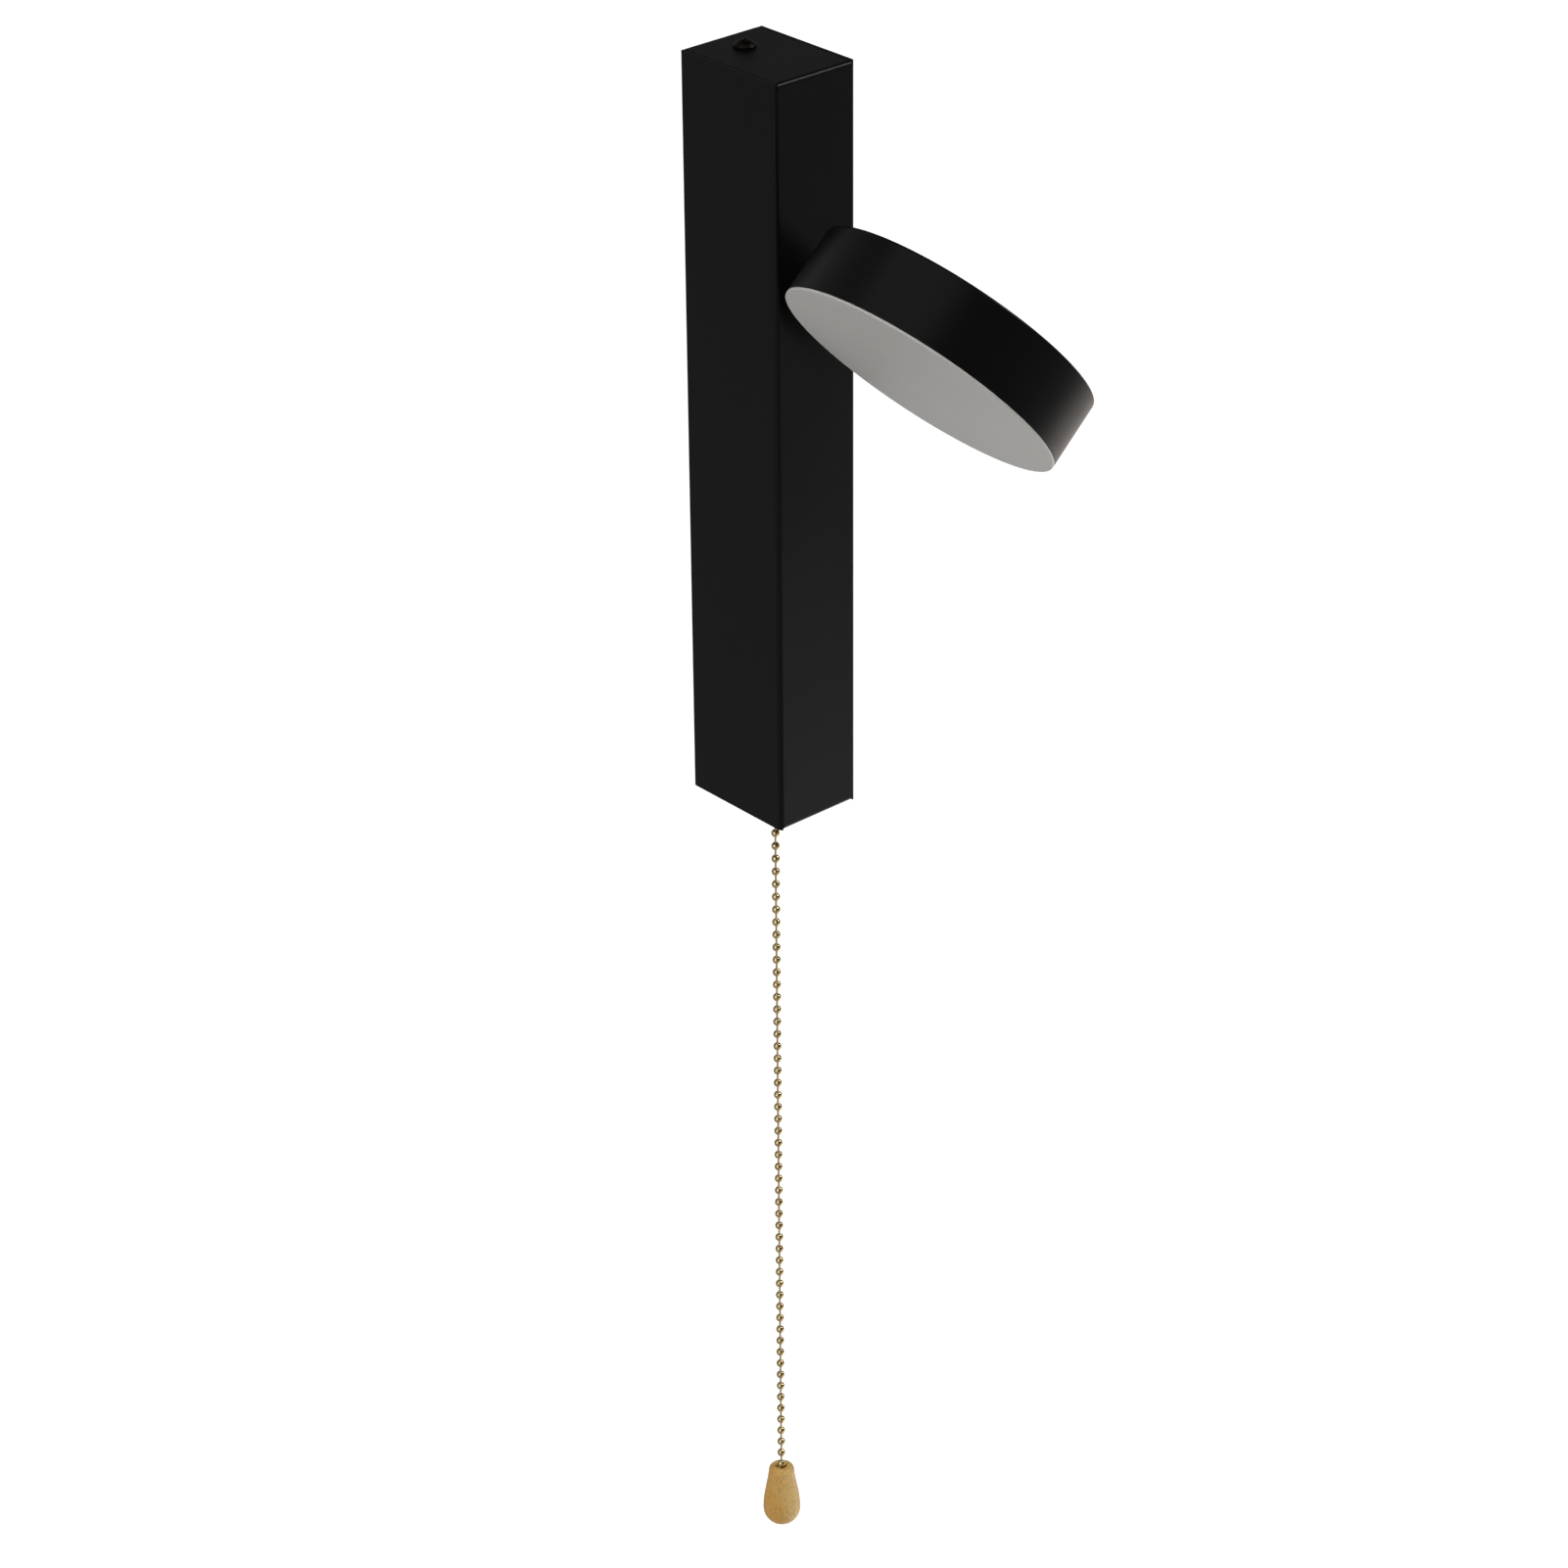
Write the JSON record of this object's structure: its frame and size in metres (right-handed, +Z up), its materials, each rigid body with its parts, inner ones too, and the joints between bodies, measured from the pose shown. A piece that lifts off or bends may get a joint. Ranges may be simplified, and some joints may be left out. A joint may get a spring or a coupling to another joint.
{
  "type": "wall reading lamp with pull chain switch",
  "caption": "Wall lamp: tall narrow black sheet housing, flat disc head with opal diffuser on a turning neck, and a ball chain pull switch with a turned wooden pull.",
  "frame": {"origin": "centre of the wall bracket's back face, on the wall, at half the housing's height", "axes": "+Y into the wall, +Z up along the housing, +X to the right for someone facing the wall"},
  "size_m": [0.0898, 0.16, 0.6123],
  "materials": {
    "black_powder_coat": "satin",
    "black_screw": "black oxide",
    "zinc_plated_steel": "zinc plated",
    "spring_steel": "bright",
    "opal_diffuser": "satin opal",
    "brass_chain": "polished",
    "brass": "plain",
    "turned_wood": "clear matt lacquer",
    "white_plastic": "moulded",
    "dark_plastic": "moulded",
    "cream_plastic": "moulded",
    "circuit_board": "solder mask",
    "aluminium_board": "white solder mask",
    "black_rubber": "matt",
    "wire_brown": "insulation",
    "wire_black": "insulation",
    "wire_blue": "insulation",
    "wire_green": "insulation",
    "wire_grey": "insulation",
    "driver_dark": "moulded"
  },
  "bodies": {
    "lamp": {"housing_shell": "black_powder_coat", "top_fixing_screw": "black_screw", "bottom_fixing_screw": "black_screw", "wall_bracket": "zinc_plated_steel", "cable_grommet": "black_rubber", "terminal_body": "cream_plastic", "earth_tag": "brass", "earth_screw": "spring_steel", "driver_case": "white_plastic", "driver_lid": "white_plastic", "driver_board": "circuit_board", "driver_transformer": "driver_dark", "driver_capacitor": "driver_dark", "driver_screw_low": "spring_steel", "driver_screw_high": "spring_steel", "switch_case": "dark_plastic", "switch_cover": "dark_plastic", "switch_neck": "brass", "neck_washer": "spring_steel", "neck_ring_nut": "brass", "contact_line": "brass", "contact_load": "brass", "rotor_axle": "spring_steel", "return_spring": "spring_steel", "inner_friction_washer": "white_plastic", "outer_friction_washer": "dark_plastic", "stop_pin": "spring_steel", "wire_line": "wire_brown", "wire_switched": "wire_black", "wire_neutral": "wire_blue", "wire_earth": "wire_green", "wire_driver_lead": "wire_grey", "terminal_sleeve_line": "brass", "clamp_screw_line_mains": "spring_steel", "clamp_screw_line_inner": "spring_steel", "terminal_sleeve_neutral": "brass", "clamp_screw_neutral_mains": "spring_steel", "clamp_screw_neutral_inner": "spring_steel", "terminal_sleeve_earth": "brass", "clamp_screw_earth_mains": "spring_steel", "clamp_screw_earth_inner": "spring_steel"},
    "head": {"head_shell": "black_powder_coat", "diffuser": "opal_diffuser", "led_board": "aluminium_board", "board_screw_1": "spring_steel", "board_screw_2": "spring_steel", "hollow_nipple": "zinc_plated_steel", "neck_collar": "black_powder_coat", "head_nut": "zinc_plated_steel", "lock_nut": "zinc_plated_steel", "stop_washer": "spring_steel", "spring_washer": "spring_steel", "wire_head_lead": "wire_grey"},
    "pull_slider": {"switch_slider": "white_plastic", "chain_inner": "brass_chain"},
    "switch_rotor": {"switch_rotor": "white_plastic", "contact_bar": "brass"},
    "chain_top": {"chain_first_bead": "brass_chain"},
    "chain": {"chain_outer": "brass_chain", "wooden_pull": "turned_wood"}
  },
  "joints": [
    {"name": "head_swivel", "type": "hinge", "parent": "lamp", "child": "head", "pos_m": [0, -0.047, 0.06], "axis": [0, 1, 0], "range_deg": [-217.5, 122.5]},
    {"name": "pull_slide", "type": "slide", "parent": "lamp", "child": "pull_slider", "axis": [0, 0, -1], "range_m": [0, 0.01], "stiffness_N_per_m": 400, "springref_m": -0.01, "deforming": ["return_spring"]},
    {"name": "rotor_turn", "type": "hinge", "parent": "lamp", "child": "switch_rotor", "pos_m": [-0.0012, -0.0235, -0.10598], "axis": [0, 1, 0], "range_deg": [0, 90]},
    {"name": "chain_swing_out", "type": "hinge", "parent": "pull_slider", "child": "chain_top", "pos_m": [0, -0.0235, -0.1464], "axis": [1, 0, 0], "range_deg": [-55, 2.5]},
    {"name": "chain_swing_side", "type": "hinge", "parent": "chain_top", "child": "chain", "pos_m": [0, -0.0235, -0.1464], "axis": [0, 1, 0], "range_deg": [-55, 55]}
  ],
  "couplings": [
    {"joint": "rotor_turn", "follows": "pull_slide", "rad_per_m": 157.07}
  ]
}
